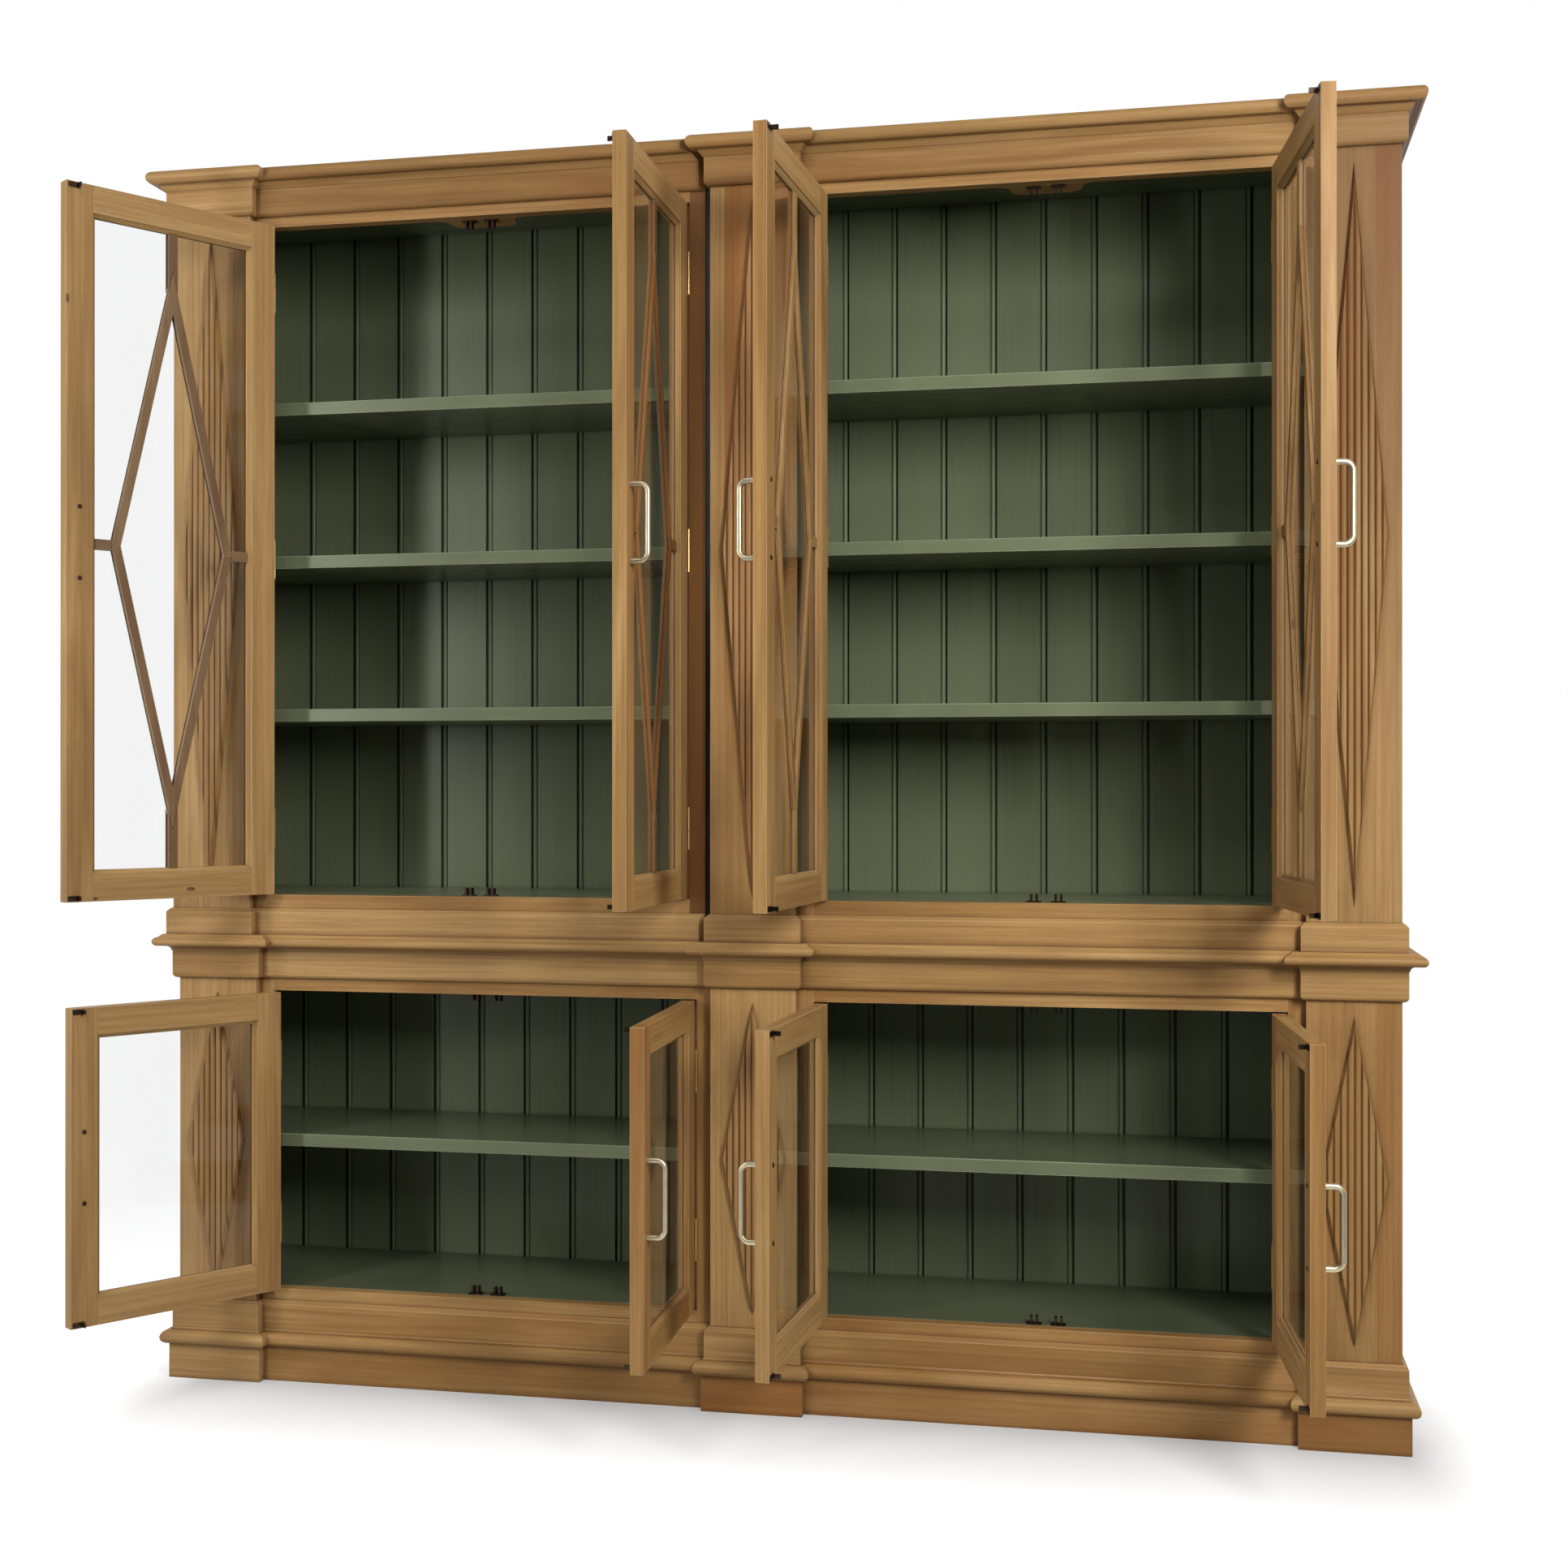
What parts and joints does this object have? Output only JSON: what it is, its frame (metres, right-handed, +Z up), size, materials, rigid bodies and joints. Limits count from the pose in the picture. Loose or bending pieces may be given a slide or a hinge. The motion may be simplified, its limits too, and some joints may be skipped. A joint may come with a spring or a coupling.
{
  "type": "display cabinet",
  "caption": "Tall breakfront display cabinet in waxed wood: glazed doors with lozenge bars above, plain glazed doors below, reeded pilasters, green painted inside with shelves.",
  "frame": {"origin": "on the floor, midway across the lower case and midway through its depth, under the middle bearer", "axes": "+Z up, +Y towards the back, +X towards the cabinet's right as seen from the front"},
  "size_m": [2.3944, 0.7773, 2.341],
  "materials": {
    "waxed_wood": "waxed and lightly worn",
    "green_paint": "semi-gloss paint",
    "clear_glass": "clear",
    "pull_metal": "satin",
    "hinge_brass": "satin",
    "dark_bronze": "dark bronze"
  },
  "bodies": {
    "cabinet": {"plinth_boards": "waxed_wood", "base_moulding": "waxed_wood", "base_skirting": "waxed_wood", "lower_frieze": "waxed_wood", "waist_moulding": "waxed_wood", "upper_base_blocks": "waxed_wood", "cornice_frieze": "waxed_wood", "cornice_moulding": "waxed_wood", "lower_case": "green_paint", "upper_cases": "green_paint", "lower_face_frame": "waxed_wood", "upper_face_frames": "waxed_wood", "lower_back_boards": "green_paint", "upper_back_boards": "green_paint", "lower_pilasters": "waxed_wood", "upper_pilasters": "waxed_wood", "lower_lozenges": "waxed_wood", "upper_lozenges": "waxed_wood", "lower_shelves": "green_paint", "upper_shelves": "green_paint", "shelf_cleats": "green_paint", "catch_blocks": "waxed_wood", "ball_catches": "dark_bronze", "hinge_frame_leaves": "hinge_brass"},
    "upper_door_1": {"upper_door_1_frame": "waxed_wood", "upper_door_1_glass": "clear_glass", "upper_door_1_pull": "pull_metal", "upper_door_1_fittings": "hinge_brass", "upper_door_1_bars": "waxed_wood"},
    "upper_door_2": {"upper_door_2_frame": "waxed_wood", "upper_door_2_glass": "clear_glass", "upper_door_2_pull": "pull_metal", "upper_door_2_fittings": "hinge_brass", "upper_door_2_bars": "waxed_wood"},
    "upper_door_3": {"upper_door_3_frame": "waxed_wood", "upper_door_3_glass": "clear_glass", "upper_door_3_pull": "pull_metal", "upper_door_3_fittings": "hinge_brass", "upper_door_3_bars": "waxed_wood"},
    "upper_door_4": {"upper_door_4_frame": "waxed_wood", "upper_door_4_glass": "clear_glass", "upper_door_4_pull": "pull_metal", "upper_door_4_fittings": "hinge_brass", "upper_door_4_bars": "waxed_wood"},
    "lower_door_1": {"lower_door_1_frame": "waxed_wood", "lower_door_1_glass": "clear_glass", "lower_door_1_pull": "pull_metal", "lower_door_1_fittings": "hinge_brass"},
    "lower_door_2": {"lower_door_2_frame": "waxed_wood", "lower_door_2_glass": "clear_glass", "lower_door_2_pull": "pull_metal", "lower_door_2_fittings": "hinge_brass"},
    "lower_door_3": {"lower_door_3_frame": "waxed_wood", "lower_door_3_glass": "clear_glass", "lower_door_3_pull": "pull_metal", "lower_door_3_fittings": "hinge_brass"},
    "lower_door_4": {"lower_door_4_frame": "waxed_wood", "lower_door_4_glass": "clear_glass", "lower_door_4_pull": "pull_metal", "lower_door_4_fittings": "hinge_brass"}
  },
  "joints": [
    {"name": "upper_door_1_swing", "type": "hinge", "parent": "cabinet", "child": "upper_door_1", "pos_m": [-0.9648, -0.1802, 1.58475], "axis": [0, 0, 1], "range_deg": [-20.9, 124.1]},
    {"name": "upper_door_2_swing", "type": "hinge", "parent": "cabinet", "child": "upper_door_2", "pos_m": [-0.1252, -0.1802, 1.58475], "axis": [0, 0, 1], "range_deg": [-90, 10]},
    {"name": "upper_door_3_swing", "type": "hinge", "parent": "cabinet", "child": "upper_door_3", "pos_m": [0.1112, -0.1802, 1.58475], "axis": [0, 0, 1], "range_deg": [-6.2, 93.8]},
    {"name": "upper_door_4_swing", "type": "hinge", "parent": "cabinet", "child": "upper_door_4", "pos_m": [0.9508, -0.1802, 1.58475], "axis": [0, 0, 1], "range_deg": [-97.3, 47.7]},
    {"name": "lower_door_1_swing", "type": "hinge", "parent": "cabinet", "child": "lower_door_1", "pos_m": [-0.9508, -0.1802, 0.4635], "axis": [0, 0, 1], "range_deg": [-19.8, 125.2]},
    {"name": "lower_door_2_swing", "type": "hinge", "parent": "cabinet", "child": "lower_door_2", "pos_m": [-0.1112, -0.1802, 0.4635], "axis": [0, 0, 1], "range_deg": [-92.2, 7.8]},
    {"name": "lower_door_3_swing", "type": "hinge", "parent": "cabinet", "child": "lower_door_3", "pos_m": [0.1112, -0.1802, 0.4635], "axis": [0, 0, 1], "range_deg": [-6.7, 93.3]},
    {"name": "lower_door_4_swing", "type": "hinge", "parent": "cabinet", "child": "lower_door_4", "pos_m": [0.9508, -0.1802, 0.4635], "axis": [0, 0, 1], "range_deg": [-95, 50]}
  ]
}
